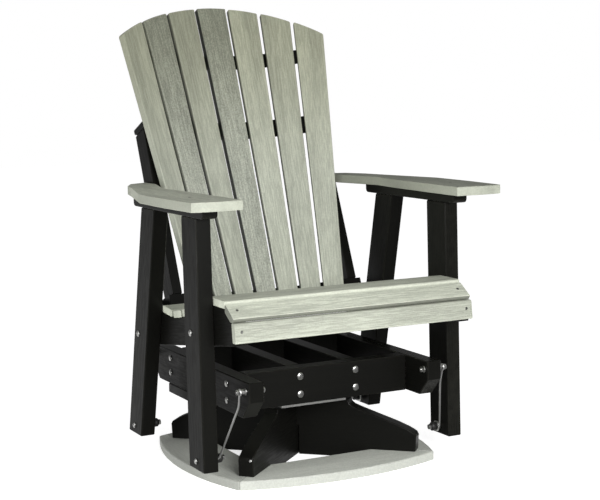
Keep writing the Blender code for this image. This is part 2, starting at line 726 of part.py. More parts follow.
def slat_axes(index):
    """Foot and unit directions of a back slat, in the back's plane: across, along, towards the sitter."""
    ends = []
    for height in (BACK_FOOT, BACK_APEX):
        turn = index * fan_pitch(height) / BACK_HOLLOW
        ends.append(Vector((BACK_HOLLOW * sin(turn), height, BACK_HOLLOW * (1 - cos(turn)))))
    foot, head = ends
    along = (head - foot).normalized()
    turn = index * (fan_pitch(BACK_FOOT) + fan_pitch(BACK_APEX)) / 2 / BACK_HOLLOW
    across = Vector((cos(turn), 0, sin(turn)))
    across = (across - across.dot(along) * along).normalized()
    return foot, across, along, across.cross(along)


def half_width(height):
    return (fan_pitch(height) - BACK_SLAT_GAP) / 2


def back_slat(index):
    """One flat slat, wider at its head, cut along the arch that all the slats share."""
    foot, across, along, facing = slat_axes(index)
    place = BACK @ plane(across, along, foot)
    outline = [(-half_width(BACK_FOOT), 0), (half_width(BACK_FOOT), 0)]
    for share in (1, 0.6, 0.2, -0.2, -0.6, -1):
        run = BACK_APEX - BACK_FOOT
        for _ in range(6):
            side = share * half_width(BACK_FOOT + run)
            spot = foot + across * side + along * run
            run += BACK_APEX - BACK_ARCH + sqrt(BACK_ARCH**2 - spot.x**2) - spot.y
        outline.append((side, run))
    middle = BACK_SLATS // 2
    number = index + middle + 1
    colour = GREY if index in (-middle + 1, 0) else LIGHT
    board(f"back_slat_{number}", outline, -BACK_SLAT_THICK, 0, place, colour, CHAIR, edge=SLAT_EDGE, segments=2)


def behind_slats(height, reach):
    """Points just behind the slats' backs at a height, from one end of a rail to the other."""
    points = []
    for index in range(-(BACK_SLATS // 2), BACK_SLATS // 2 + 1):
        foot, across, along, facing = slat_axes(index)
        middle = foot + along * (height - foot.y) / along.y - facing * (BACK_SLAT_THICK + FIT)
        for share in (-1, 1):
            spot = middle + across * share * half_width(height)
            points.append((spot.x, -spot.z))
    inside = [point for point in points if abs(point[0]) < reach]
    if len(inside) < len(points):
        (near_x, near_depth), (far_x, far_depth) = points[-2:]
        depth = near_depth + (far_depth - near_depth) * (reach - near_x) / (far_x - near_x)
    else:
        depth = points[-1][1]
    return [(-reach, depth), *inside, (reach, depth)]


def level_rail(name, low, high, reach, depth):
    """A rail lofted from end to end behind the slats: its front leans, its underside lies level."""
    work = bmesh.new()
    loops = []
    for x, near in behind_slats(low, reach):
        rise = (depth - near) * tan(BACK_LEAN)
        section = ((near, low), (depth, low + rise), (depth, high), (near, high))
        verts = [work.verts.new((x, y, z)) for y, z in section]
        loops.append([work.edges.new(pair) for pair in zip(verts, verts[1:] + verts[:1])])
    for loop, following in zip(loops, loops[1:]):
        bmesh.ops.bridge_loops(work, edges=loop + following)
    for end in (loops[0], loops[-1]):
        bmesh.ops.edgeloop_fill(work, edges=end)
    bmesh.ops.recalc_face_normals(work, faces=work.faces)
    mesh = bpy.data.meshes.new(name)
    work.to_mesh(mesh)
    work.free()
    rail = add_piece(name, mesh, BACK_LEVEL, BLACK, CHAIR)
    ease_edges(rail, BOARD_EDGE)
    return rail


def back():
    """Fanned slats on three rails: the lowest between the seat rails, the next on the posts."""
    for index in range(-(BACK_SLATS // 2), BACK_SLATS // 2 + 1):
        back_slat(index)
    reach = SEAT_RAIL_INNER - FIT
    outline = behind_slats(BACK_FOOT, reach) + [(reach, BACK_RAIL_DEPTH), (-reach, BACK_RAIL_DEPTH)]
    board("back_rail_bottom", outline, BACK_FOOT, BOTTOM_RAIL_TOP, BACK_LEVEL, BLACK, CHAIR)
    lower = level_rail("back_rail_lower", LOWER_RAIL_BOTTOM, LOWER_RAIL_TOP, POST_OUTER, BACK_RAIL_DEPTH)
    for side, word in SIDES:
        across = sorted((side * (POST_INNER - FIT), side * (POST_OUTER + OVERRUN)))
        notch = rectangle(*across, -BACK_RAIL_DEPTH, BACK_RAIL_DEPTH + OVERRUN)
        mesh = outline_mesh("post_notch", [notch], LOWER_RAIL_BOTTOM - OVERRUN, POST_TOP + FIT)
        combine(lower, cutter(f"post_notch_{word}", mesh, BACK_LEVEL))
    level_rail("back_rail_upper", UPPER_RAIL_BOTTOM, UPPER_RAIL_TOP, UPPER_RAIL_HALF, UPPER_RAIL_DEPTH)
    section = rectangle(BOTTOM_RAIL_TOP + FIT, POST_TOP, POST_FRONT - POST_DEPTH, POST_FRONT)
    for side, word in SIDES:
        low, high = sorted((side * POST_INNER, side * POST_OUTER))
        board(f"back_post_{word}", section, low, high, BACK_SIDE, BLACK, CHAIR)


ring_base()
pedestal()
bearing()
glider_frame()
pivots()
links()
legs()
arms()
seat()
back()
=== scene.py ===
# %% [markdown]
# # A swivel glider
# The chair is a garden armchair of sawn plastic boards. Four bent steel links hang the seat from a black
# frame, and the frame turns on crossed boards inside a ring of pale ones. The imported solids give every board
# its place, and this lesson gives them their edges, their pressed grain, their steel and their light.

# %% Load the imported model
import json
from math import cos, pi, radians, sin

import bmesh
import bpy
import numpy as np
from mathutils import Matrix, Vector
from mathutils.bvhtree import BVHTree


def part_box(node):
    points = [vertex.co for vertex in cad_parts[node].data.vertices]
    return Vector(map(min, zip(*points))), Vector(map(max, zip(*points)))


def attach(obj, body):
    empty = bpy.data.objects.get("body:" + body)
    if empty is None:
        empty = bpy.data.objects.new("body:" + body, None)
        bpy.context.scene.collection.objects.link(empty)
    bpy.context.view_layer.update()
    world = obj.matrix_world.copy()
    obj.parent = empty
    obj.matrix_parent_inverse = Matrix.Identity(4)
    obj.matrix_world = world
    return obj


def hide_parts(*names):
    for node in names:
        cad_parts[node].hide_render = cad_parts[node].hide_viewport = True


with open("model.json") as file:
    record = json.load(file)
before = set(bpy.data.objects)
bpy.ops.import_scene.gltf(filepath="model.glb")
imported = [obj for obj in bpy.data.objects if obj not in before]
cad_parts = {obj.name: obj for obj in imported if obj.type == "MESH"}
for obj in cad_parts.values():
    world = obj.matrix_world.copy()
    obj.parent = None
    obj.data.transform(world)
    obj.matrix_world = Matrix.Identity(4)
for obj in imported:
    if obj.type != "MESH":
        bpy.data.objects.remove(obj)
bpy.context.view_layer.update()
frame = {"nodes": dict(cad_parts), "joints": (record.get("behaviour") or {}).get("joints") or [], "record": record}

NODES = frame["nodes"]
BODY_OF = {name: body for body, names in frame["record"]["behaviour"]["bodies"].items() for name in names}

# %% [markdown]
# ## Camera
# The photograph was taken with a long lens from the front left, higher than the arms. The camera could be
# placed by eye, but its turn, tilt and roll were solved from straight board edges, so they are used here.

# %% Camera
YAW, PITCH, ROLL = 0.47299, -0.12232, -0.01662
CAMERA_PLACE = (-1.6171, -3.2181, 0.9651)
FOCAL_PIXELS, PHOTO_WIDTH, SENSOR_WIDTH = 1434.83, 600, 36
ahead = Vector((sin(YAW) * cos(PITCH), cos(YAW) * cos(PITCH), sin(PITCH)))
level = Vector((cos(YAW), -sin(YAW), 0))
upright = level.cross(ahead)
right = cos(ROLL) * level + sin(ROLL) * upright
above = cos(ROLL) * upright - sin(ROLL) * level
stand = Matrix((right, above, -ahead)).transposed().to_4x4()
stand.translation = CAMERA_PLACE
camera = bpy.data.objects.new("camera", bpy.data.cameras.new("camera"))
camera.data.sensor_width = SENSOR_WIDTH
camera.data.lens = FOCAL_PIXELS / PHOTO_WIDTH * SENSOR_WIDTH
camera.matrix_world = stand
bpy.context.scene.collection.objects.link(camera)
bpy.context.scene.camera = camera
print("lens:", round(camera.data.lens, 2), "mm")

# %% [markdown]
# ## Node helpers
# Shader nodes can be made one line at a time, but a material soon has twenty of them. One helper makes a
# node and fills its sockets, others make the kinds that come often, and one starts a group.

# %% Node helpers
def add_node(tree, kind, sockets=None, **settings):
    """A node whose sockets take a value or the output of another node."""
    made = tree.nodes.new(kind)
    for name, value in settings.items():
        setattr(made, name, value)
    for name, value in (sockets or {}).items():
        if isinstance(value, bpy.types.NodeSocket):
            tree.links.new(value, made.inputs[name])
        else:
            made.inputs[name].default_value = value
    return made


def add_math(tree, operation, first, second=0.0):
    return add_node(tree, "ShaderNodeMath", {0: first, 1: second}, operation=operation).outputs[0]


def span(tree, value, low, high, to_low=0.0, to_high=1.0):
    """The value's share of the way from low to high, eased at both ends."""
    sockets = {"Value": value, "From Min": low, "From Max": high, "To Min": to_low, "To Max": to_high}
    return add_node(tree, "ShaderNodeMapRange", sockets, interpolation_type="SMOOTHSTEP").outputs["Result"]


def mix_colours(tree, share, first, second, blend="MIX"):
    sockets = {0: share, 6: first, 7: second}
    return add_node(tree, "ShaderNodeMix", sockets, data_type="RGBA", blend_type=blend).outputs[2]


def scale_vector(tree, vector, factor):
    return add_node(tree, "ShaderNodeVectorMath", {0: vector, "Scale": factor}, operation="SCALE").outputs[0]


def stretch(tree, vector, scale):
    return add_node(tree, "ShaderNodeMapping", {"Vector": vector, "Scale": scale}).outputs[0]


def add_noise(tree, place, scale, detail=2.0, distortion=0.0):
    sockets = {"Vector": place, "Scale": scale, "Detail": detail, "Distortion": distortion}
    return add_node(tree, "ShaderNodeTexNoise", sockets).outputs[0]


def object_place(tree):
    return add_node(tree, "ShaderNodeTexCoord").outputs["Object"]


def add_bump(tree, height, depth, strength):
    sockets = {"Height": height, "Distance": depth, "Strength": strength}
    return add_node(tree, "ShaderNodeBump", sockets).outputs[0]


def start_group(name, inputs, outputs):
    group = bpy.data.node_groups.new(name, "ShaderNodeTree")
    for label, kind, value in inputs:
        socket = group.interface.new_socket(name=label, in_out="INPUT", socket_type=kind)
        if value is not None:
            socket.default_value = value
    for label, kind in outputs:
        group.interface.new_socket(name=label, in_out="OUTPUT", socket_type=kind)
    return group, group.nodes.new("NodeGroupInput").outputs, group.nodes.new("NodeGroupOutput").inputs


FLOAT, COLOUR, VECTOR = "NodeSocketFloat", "NodeSocketColor", "NodeSocketVector"
print("helpers ready")

# %% [markdown]
# ## Sky
# The chair stands in a white studio. Many lamps could give its soft light, but a gradient over the whole sky
# has no edges and few values to fit. They were fitted to the tones of the photograph: the sky is brighter in
# front than behind, and weak near the horizon. Glossy rays pass through the floor, so black faces mirror the
# lower half of the sky in its place, dark in front and brighter behind. To the camera the sky is plain white.

# %% Sky
SKY_FRONT, SKY_SIDE, SKY_REAR = 0.52, 0.47, 0.31
SKY_LOW_SHARE, SKY_CLIMB = 0.25, (0.0, 0.6)
SKY_TURNS = (-0.9, 0.1, 0.9)
FLOOR_GLOWS, FLOOR_TURN, FLOOR_EDGE = (0.02, 0.58), (-0.3, 0.3), (-0.12, -0.02)
world = bpy.data.worlds.new("studio")
bpy.context.scene.world = world
world.use_nodes = True
sky = world.node_tree
sky.nodes.clear()
heading = add_node(sky, "ShaderNodeTexCoord").outputs["Generated"]
_, rearward, upward = add_node(sky, "ShaderNodeSeparateXYZ", {0: heading}).outputs
front_half = span(sky, rearward, *SKY_TURNS[:2], SKY_FRONT, SKY_SIDE)
rear_half = span(sky, rearward, *SKY_TURNS[1:], 0.0, SKY_REAR - SKY_SIDE)
climb = span(sky, upward, *SKY_CLIMB, SKY_LOW_SHARE, 1.0)
above = add_math(sky, "MULTIPLY", add_math(sky, "ADD", front_half, rear_half), climb)
below = span(sky, upward, *FLOOR_EDGE, 1.0, 0.0)
floor_glow = span(sky, rearward, *FLOOR_TURN, *FLOOR_GLOWS)
glow = add_math(sky, "ADD", above, add_math(sky, "MULTIPLY", floor_glow, below))
seen = add_node(sky, "ShaderNodeLightPath").outputs["Is Camera Ray"]
strength = add_node(sky, "ShaderNodeMix", {0: seen, 2: glow, 3: 1.0}, data_type="FLOAT").outputs[0]
backdrop = add_node(sky, "ShaderNodeBackground", {"Color": (1, 1, 1, 1), "Strength": strength})
add_node(sky, "ShaderNodeOutputWorld", {"Surface": backdrop.outputs[0]})
bpy.context.scene.view_settings.view_transform = "Standard"
print("sky:", SKY_FRONT, SKY_SIDE, SKY_REAR)

# %% [markdown]
# ## Lamps
# Two soft lamps stand near the chair, one in front and one on its left. A brighter sky could light the same
# faces, but it reaches every height alike. A near lamp lights the low front and the left side more than the
# top of the back. Their places and strengths were fitted to the photograph too.

# %% Lamps
def add_lamp(name, power, size, place, aim, spread):
    """An oblong lamp, turned by aim degrees about X and then about Z. Its spread is in degrees too."""
    lamp = bpy.data.objects.new(name, bpy.data.lights.new(name, "AREA"))
    lamp.data.shape = "RECTANGLE"
    lamp.data.size, lamp.data.size_y = size
    lamp.data.energy = power
    lamp.data.spread = radians(spread)
    lamp.location = place
    lamp.rotation_euler = (radians(aim[0]), 0, radians(aim[1]))
    bpy.context.scene.collection.objects.link(lamp)
    print(name, power, "W, spread", spread)


add_lamp("front_lamp", power=22.0, size=(1.0, 0.7), place=(-0.35, -2.20, 0.88), aim=(52, -9), spread=110)
add_lamp("side_lamp", power=13.0, size=(0.8, 0.6), place=(-2.20, -0.40, 0.60), aim=(90, -85), spread=180)

# %% [markdown]
# ## Floor
# The studio floor is white and runs out of sight. A curved sheet could do it, but one wide square that glows
# comes out nearly as white as the sky behind it, and still takes the chair's soft shadow.

# %% Floor
FLOOR_HALF = 12.0
FLOOR_TONE, FLOOR_LIGHT = (0.82, 0.82, 0.82, 1), 0.70
FLOOR_ROUGHNESS, FLOOR_SPECULAR = 0.9, 0.1
floor_bm = bmesh.new()
bmesh.ops.create_grid(floor_bm, x_segments=1, y_segments=1, size=FLOOR_HALF)
floor_mesh = bpy.data.meshes.new("floor")
floor_bm.to_mesh(floor_mesh)
floor_bm.free()
floor = bpy.data.objects.new("floor", floor_mesh)
bpy.context.scene.collection.objects.link(floor)
floor_paint = bpy.data.materials.new("floor")
floor_paint.use_nodes = True
shader = floor_paint.node_tree.nodes["Principled BSDF"]
shader.inputs["Base Color"].default_value = FLOOR_TONE
shader.inputs["Roughness"].default_value = FLOOR_ROUGHNESS
shader.inputs["Specular IOR Level"].default_value = FLOOR_SPECULAR
shader.inputs["Emission Color"].default_value = (1, 1, 1, 1)
shader.inputs["Emission Strength"].default_value = FLOOR_LIGHT
floor_mesh.materials.append(floor_paint)
floor.visible_glossy = False
print("floor:", 2 * FLOOR_HALF, "m across")

# %% [markdown]
# ## Pressed grain
# The boards are plastic, and their grain is rolled into the wide faces while they are warm: short strokes
# along the board, with finer ones between. A wood picture could be wrapped round them, but a stretched
# noise gives strokes of any length and width. Every board carries its own coordinates, along, across and
# through, so the strokes follow it however it leans.

# %% Pressed grain group
STROKE_LENGTH, STROKE_WIDTH = 0.026, 0.0015
FINE_SCALE, CLOUD_SCALE = (1.6, 3.4, 3.4), (0.14, 0.06, 0.06)
GRAIN_SCALE, GRAIN_WAVE, FINE_SHARE = 0.5, 0.5, 0.55
STROKE_RANGE = (0.44, 0.60)
grain_group, given, wanted = start_group(
    "Pressed Grain",
    [
        ("Board", VECTOR, None), ("Length", FLOAT, STROKE_LENGTH), ("Width", FLOAT, STROKE_WIDTH),
        ("Wide Face", FLOAT, 1.0),
    ],
    [("Height", FLOAT), ("Strokes", FLOAT), ("Cloud", FLOAT)],
)
lengths = {0: given["Length"], 1: given["Width"], 2: given["Width"]}
size = add_node(grain_group, "ShaderNodeCombineXYZ", lengths).outputs[0]
sockets = {0: given["Board"], 1: size}
spread = add_node(grain_group, "ShaderNodeVectorMath", sockets, operation="DIVIDE").outputs[0]
coarse = add_noise(grain_group, spread, GRAIN_SCALE, distortion=GRAIN_WAVE)
fine = add_noise(grain_group, stretch(grain_group, spread, FINE_SCALE), GRAIN_SCALE)
cloud = add_noise(grain_group, stretch(grain_group, spread, CLOUD_SCALE), GRAIN_SCALE)
strokes = span(grain_group, coarse, *STROKE_RANGE)
both = add_math(grain_group, "MULTIPLY_ADD", fine, FINE_SHARE)
grain_group.links.new(strokes, both.node.inputs[2])
pressed = add_math(grain_group, "MULTIPLY", both, given["Wide Face"])
marks = add_math(grain_group, "MULTIPLY", add_math(grain_group, "ADD", strokes, fine), given["Wide Face"])
grain_group.links.new(pressed, wanted["Height"])
grain_group.links.new(marks, wanted["Strokes"])
grain_group.links.new(cloud, wanted["Cloud"])
print("group:", grain_group.name)

# %% [markdown]
# ## Rubbed edges and painted highlights
# Plastic boards are rounded by a cutter and then handled, so their edges are a little smoother and lighter than
# their faces. The lighter colour is partly that wear and partly a painted highlight, where rounded edges catch the
# light. A dirt or wear picture could show it. Here the rounded strips are marked when they are cut, and this group
# lightens what is marked, in patches.

# %% Edge wear and highlight group
EDGE_PATCH_SCALE, EDGE_PATCH_RANGE, EDGE_PATCH_SHARES = 60.0, (0.30, 0.70), (0.45, 1.0)
edge_wear_highlight_group, given, wanted = start_group(
    "Edge Wear And Highlight",
    [("Colour", COLOUR, None), ("Edge", FLOAT, 0.0), ("Board", VECTOR, None), ("Gain", FLOAT, 1.2)],
    [("Colour", COLOUR), ("Smoothness", FLOAT)],
)
patch = add_noise(edge_wear_highlight_group, given["Board"], EDGE_PATCH_SCALE)
wear_and_highlight = add_math(edge_wear_highlight_group, "MULTIPLY", span(edge_wear_highlight_group, patch, *EDGE_PATCH_RANGE, *EDGE_PATCH_SHARES), given["Edge"])
# Painted highlight: the marked strips are lightened by the gain, partly as handling wear and partly as the gleam
# of a rounded edge.
lighter = scale_vector(edge_wear_highlight_group, given["Colour"], given["Gain"])
edge_wear_highlight_group.links.new(mix_colours(edge_wear_highlight_group, wear_and_highlight, given["Colour"], lighter), wanted["Colour"])
edge_wear_highlight_group.links.new(wear_and_highlight, wanted["Smoothness"])
print("group:", edge_wear_highlight_group.name)

# %% [markdown]
# ## Board plastics
# Four mixes are used: pale grey-green, a lighter one for the ring, a darker grey for two slats of the back, and
# black. Each could be one flat colour, but the real ones are mottled and darker in the strokes, and the photograph
# shows the back darker and warmer towards its top. That darkening is painted shade, where the light falls off
# towards the top. One function makes all four.

# %% Board plastics
# Painted shade: between these heights the colour darkens and warms, as the light falls off towards the top of the
# back.
SHADE_HEIGHTS = (0.60, 1.12)
DARKEST_TINT = 0.10
SPECK_SCALE = 260.0
TONE_RANGE, CLOUD_RANGE, SPECK_RANGE = (0.1, 1.3), (0.3, 0.7), (0.35, 0.65)
GLOSS_RANGE, SMOOTHER, ROUGHER = (0.0, 1.4), 0.05, 0.08
GRAIN_STRENGTH = 0.8


def board_plastic(
    name, colour, stroke, depth, roughness, gain, specular, cloud_share, speck_share, edge_gloss,
    light_below=(1, 1, 1), light_above=(1, 1, 1),
):
    """A pressed plastic, whose grain is depth metres deep.

    The shares say how much clouds and specks change its colour, and stroke how much the grain does. Between the
    two heights the colour is multiplied by a factor going from the one given for below to the one given for above:
    painted shade, darker and warmer towards the top.
    """
    made = bpy.data.materials.new(name)
    made.use_nodes = True
    tree = made.node_tree
    shader = tree.nodes["Principled BSDF"]
    board = add_node(tree, "ShaderNodeAttribute", attribute_name="board").outputs["Vector"]
    zones = add_node(tree, "ShaderNodeAttribute", attribute_name="zones").outputs["Vector"]
    wide, edge, tint = add_node(tree, "ShaderNodeSeparateXYZ", {0: zones}).outputs
    grain = add_node(tree, "ShaderNodeGroup", node_tree=grain_group)
    for label, socket in (("Board", board), ("Wide Face", wide)):
        tree.links.new(socket, grain.inputs[label])
    deep = (*(part * (1 - stroke) for part in colour), 1)
    pale = (*(part * (1 + stroke) for part in colour), 1)
    stroked = mix_colours(tree, span(tree, grain.outputs["Strokes"], *TONE_RANGE), pale, deep)
    # Painted shade with height: darker and warmer towards the top.
    height = add_node(tree, "ShaderNodeSeparateXYZ", {0: object_place(tree)}).outputs[2]
    tone = mix_colours(tree, span(tree, height, *SHADE_HEIGHTS), (*light_below, 1), (*light_above, 1))
    stroked = mix_colours(tree, 1.0, stroked, tone, blend="MULTIPLY")
    clouded = span(tree, grain.outputs["Cloud"], *CLOUD_RANGE, 1 - cloud_share, 1 + cloud_share)
    speck = add_noise(tree, board, SPECK_SCALE)
    specked = span(tree, speck, *SPECK_RANGE, 1 - speck_share, 1 + speck_share)
    # The tint from the dressing carries the painted light and shade of each face.
    seen_tint = add_math(tree, "MAXIMUM", tint, DARKEST_TINT)
    shade = add_math(tree, "MULTIPLY", add_math(tree, "MULTIPLY", clouded, specked), seen_tint)
    toned = scale_vector(tree, stroked, shade)
    wear_and_highlight_node = tree.nodes.new("ShaderNodeGroup")
    wear_and_highlight_node.node_tree = edge_wear_highlight_group
    wear_and_highlight_node.inputs["Gain"].default_value = gain
    for label, socket in (("Colour", toned), ("Edge", edge), ("Board", board)):
        tree.links.new(socket, wear_and_highlight_node.inputs[label])
    tree.links.new(wear_and_highlight_node.outputs["Colour"], shader.inputs["Base Color"])
    matt_ends = (roughness - SMOOTHER, roughness + ROUGHER)
    matt = span(tree, grain.outputs["Strokes"], *GLOSS_RANGE, *matt_ends)
    dull = add_math(tree, "MULTIPLY_ADD", wear_and_highlight_node.outputs["Smoothness"], -edge_gloss)
    tree.links.new(matt, dull.node.inputs[2])
    tree.links.new(dull, shader.inputs["Roughness"])
    tree.links.new(add_bump(tree, grain.outputs["Height"], depth, GRAIN_STRENGTH), shader.inputs["Normal"])
    shader.inputs["Specular IOR Level"].default_value = specular
    return made


LIGHT = board_plastic(
    "light_board_pressed", colour=(0.474, 0.496, 0.412), stroke=0.13, depth=0.0006, roughness=0.60, gain=1.05,
    specular=0.40, cloud_share=0.11, speck_share=0.05, edge_gloss=0.06, light_above=(0.80, 0.785, 0.70),
)
GREY = board_plastic(
    "grey_board_pressed", colour=(0.383, 0.401, 0.345), stroke=0.17, depth=0.0006, roughness=0.60, gain=1.05,
    specular=0.40, cloud_share=0.13, speck_share=0.16, edge_gloss=0.06,
    light_below=(1.22, 1.22, 1.20), light_above=(0.75, 0.745, 0.66),
)
RING = board_plastic(
    "ring_board_pressed", colour=(0.550, 0.567, 0.515), stroke=0.05, depth=0.0004, roughness=0.58, gain=1.04,
    specular=0.40, cloud_share=0.05, speck_share=0.06, edge_gloss=0.06,
)
# The black boards' high gain lightens their rounded edges, mostly as a painted highlight.
BLACK = board_plastic(
    "black_board_pressed", colour=(0.0046, 0.0046, 0.0038), stroke=0.10, depth=0.00005, roughness=0.38,
    gain=2.2, specular=0.13, cloud_share=0.10, speck_share=0.05, edge_gloss=0.16,
)
print("plastics:", LIGHT.name, GREY.name, RING.name, BLACK.name)

# %% [markdown]
# ## Dressing a board
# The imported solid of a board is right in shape, but it is loose triangles with sharp corners. A new board
# could be drawn from nothing, but then it might not match. So a copy of the solid is merged into flat faces,
# its corners are rounded with a bevel, and every vertex is told where it lies along, across and through the
# board. The faces also learn whether they are wide faces or rounded strips, and how strongly they are tinted.

# %% Dressing a board
MERGE, BOARD_EDGE = 0.00001, 0.0008
CORNER, FLATNESS = radians(24), radians(0.8)
WIDE_FACING, SIDE_FACING, EDGE_FACING, EDGE_WIDE_SHARE = 0.97, 0.8, 0.06, 0.5
SHIFT_REACH, TINT_SPREAD = 5, 0.015
draws = np.random.default_rng(11)


def merged_copy(node):
    """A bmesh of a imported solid, with its loose triangles joined into flat faces."""
    bm = bmesh.new()
    bm.from_mesh(NODES[node].data)
    bmesh.ops.remove_doubles(bm, verts=bm.verts, dist=MERGE)
    bmesh.ops.dissolve_limit(bm, angle_limit=FLATNESS, verts=bm.verts, edges=bm.edges)
    return bm


def board_axes(bm):
    """The directions along, across and through a board, from the spread of its faces."""
    places = np.array([face.calc_center_median() for face in bm.faces])
    areas = np.array([face.calc_area() for face in bm.faces])
    middle = (places * areas[:, None]).sum(0) / areas.sum()
    away = (places - middle) * np.sqrt(areas)[:, None]
    _, axes = np.linalg.eigh(away.T @ away)
    return Vector(axes[:, 2]), Vector(axes[:, 1]), Vector(axes[:, 0]), Vector(middle)


def round_edges(bm, edges, width):
    bmesh.ops.bevel(
        bm, geom=edges, offset=width, affect="EDGES", segments=2, profile=0.5, material=-1, clamp_overlap=True
    )


def round_corners(bm, width):
    sharp = [edge for edge in bm.edges if len(edge.link_faces) == 2 and edge.calc_face_angle() > CORNER]
    round_edges(bm, sharp, width)


def as_piece(bm, name, body, material):
    """The bmesh as a smooth piece that rides on a body."""
    mesh = bpy.data.meshes.new(name)
    bm.to_mesh(mesh)
    bm.free()
    mesh.shade_smooth()
    mesh.materials.append(material)
    piece = bpy.data.objects.new(name, mesh)
    bpy.context.scene.collection.objects.link(piece)
    even = piece.modifiers.new("even_normals", "WEIGHTED_NORMAL")
    even.keep_sharp = True
    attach(piece, body)
    return piece


def mark_board(bm, along, through, middle, board_tint, side_tint, shade_depth):
    """Writes each vertex's place in the board, and at each face's corners how wide, rounded and tinted it is.

    With a depth given, the sides get painted shade, darker from the front rearwards, as shade deepens in a narrow
    gap.
    """
    if through.y > 0:
        through = -through
    front = max((vert.co - middle).dot(through) for vert in bm.verts)
    across = through.cross(along)
    shift = Vector(draws.uniform(0, SHIFT_REACH, 3))
    # The board tint is painted light and shade, with a small random spread of tone from the draws.
    tint = board_tint * (1 + draws.normal(0, TINT_SPREAD))
    board = bm.verts.layers.float_vector.new("board")
    zones = bm.loops.layers.float_vector.new("zones")
    for vert in bm.verts:
        away = vert.co - middle
        vert[board] = Vector((away.dot(along), away.dot(across), away.dot(through))) + shift
    for face in bm.faces:
        facing = abs(face.normal.dot(through))
        wide, rounded = float(facing > WIDE_FACING), float(EDGE_FACING < facing <= WIDE_FACING)
        side = facing < SIDE_FACING
        tone = tint * (side_tint if side else 1)
        for loop in face.loops:
            # Painted shade: side faces darken with their depth behind the board's front face.
            behind = front - (loop.vert.co - middle).dot(through)
            gap_shade = behind / shade_depth if side and shade_depth else 0
            loop[zones] = (max(wide, EDGE_WIDE_SHARE * rounded), rounded, tone - gap_shade)


def dress_board(
    node, material, width=BOARD_EDGE, along=None, through=None,
    board_tint=1.0, side_tint=1.0, shade_depth=None,
):
    """A rounded, marked copy of a board, shown in place of its solid."""
    bm = merged_copy(node)
    longest, _, thinnest, middle = board_axes(bm)
    round_corners(bm, width)
    bm.normal_update()
    along, through = Vector(along or longest), Vector(through or thinnest)
    mark_board(bm, along, through, middle, board_tint, side_tint, shade_depth)
    piece = as_piece(bm, f"{node}_dressed", BODY_OF[node], material)
    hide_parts(node)


print("board helpers ready")

# %% [markdown]
# ## Pale boards
# The ring, the arms, the seat slats and five of the back's seven slats are pale, and two slats are grey. The
# back's slats tell their own direction by their longest side, and the others are given theirs. Lamps could be
# moved until every board has its tone, but a tint for a board or its sides is quicker. The tints match the
# photograph, and they are painted light and shade: they stand for studio light and shade that the lamps don't
# give. Beside the back's narrow gaps the sides get painted shade that deepens with depth.

# %% Pale and grey boards
ALONG_X, ALONG_Y, UP = (1, 0, 0), (0, 1, 0), (0, 0, 1)
# Painted shade: the first number sets how fast the sides beside the back's gaps darken with depth; the second
# darkens the ring boards' sides.
GAP_SHADE_DEPTH, RING_SIDE_SHADE = 0.013, 0.70
pale_boards = [
    *((f"arm_{side}", ALONG_Y, UP) for side in ("left", "right")),
    *((f"seat_slat_{number}", ALONG_X, None) for number in range(1, 9)),
    *((f"back_slat_{number}", None, None) for number in (1, 3, 5, 6, 7)),
]
# Painted light and shade: these tints lighten or darken whole boards, and the side tints their sides, where the
# lamps give too much or too little light.
BOARD_LIGHT_TINTS = {
    "arm_left": 1.17, "arm_right": 0.66, "seat_slat_1": 0.71, "seat_slat_2": 1.02,
    "back_slat_1": 1.04, "back_slat_3": 0.98, "back_slat_5": 1.10, "back_slat_6": 1.03, "back_slat_7": 1.04,
}
SIDE_LIGHT_TINTS = {"seat_slat_2": 0.34, "back_slat_1": 0.74, "arm_left": 0.62, "arm_right": 1.04}
BESIDE_GAPS = [f"back_slat_{number}" for number in (3, 5, 6, 7)]
for node, along, through in pale_boards:
    dress_board(
        node, LIGHT, along=along, through=through, board_tint=BOARD_LIGHT_TINTS.get(node, 1.0),
        side_tint=SIDE_LIGHT_TINTS.get(node, 1.0), shade_depth=GAP_SHADE_DEPTH if node in BESIDE_GAPS else None,
    )
for number in (2, 4):
    dress_board(f"back_slat_{number}", GREY, shade_depth=GAP_SHADE_DEPTH)
# The ring boards' tints and their darker sides are painted light and shade.
RING_BOARDS = (
    ("front", ALONG_X, 1.0), ("right", ALONG_Y, 0.88), ("rear", ALONG_X, 0.95), ("left", ALONG_Y, 0.86),
)
for side, along, tint in RING_BOARDS:
    dress_board(
        f"ring_board_{side}", RING, along=along, through=UP, board_tint=tint,
        side_tint=RING_SIDE_SHADE,
    )
print("pale boards:", len(pale_boards) + len(RING_BOARDS), "grey boards: 2")

# %% [markdown]
# ## Black boards
# Nearly everything that carries the seat is black: the crossed pedestal boards, the frame that turns, the
# legs, the cleats under the arms, the seat rails and the back's posts and rails. Each could be dressed by
# itself, but one loop does them all, with rounder edges than the pale boards have.

# %% Black boards
BLACK_EDGE = 0.0022
sides = ("left", "right")
paired = ("frame_rail", "frame_block", "beam", "arm_cleat", "seat_rail", "back_post")
black_boards = [
    "pedestal_board_a", "pedestal_board_b", "apron_front", "apron_rear",
    *(f"{kind}_{side}" for kind in paired for side in sides),
    *(f"leg_{end}_{side}" for end in ("front", "rear") for side in sides),
    *(f"back_rail_{level}" for level in ("bottom", "lower", "upper")),
]
for node in black_boards:
    dress_board(node, BLACK, width=BLACK_EDGE)
print("black boards:", len(black_boards))

# %% [markdown]
# ## Worked steel
# The links, bolts and turning plates are drawn as plain stainless steel. It could be a mirror, but wire and
# bolts are pulled and pressed, so their gloss changes in small patches and fine scratches. The group gives
# both.

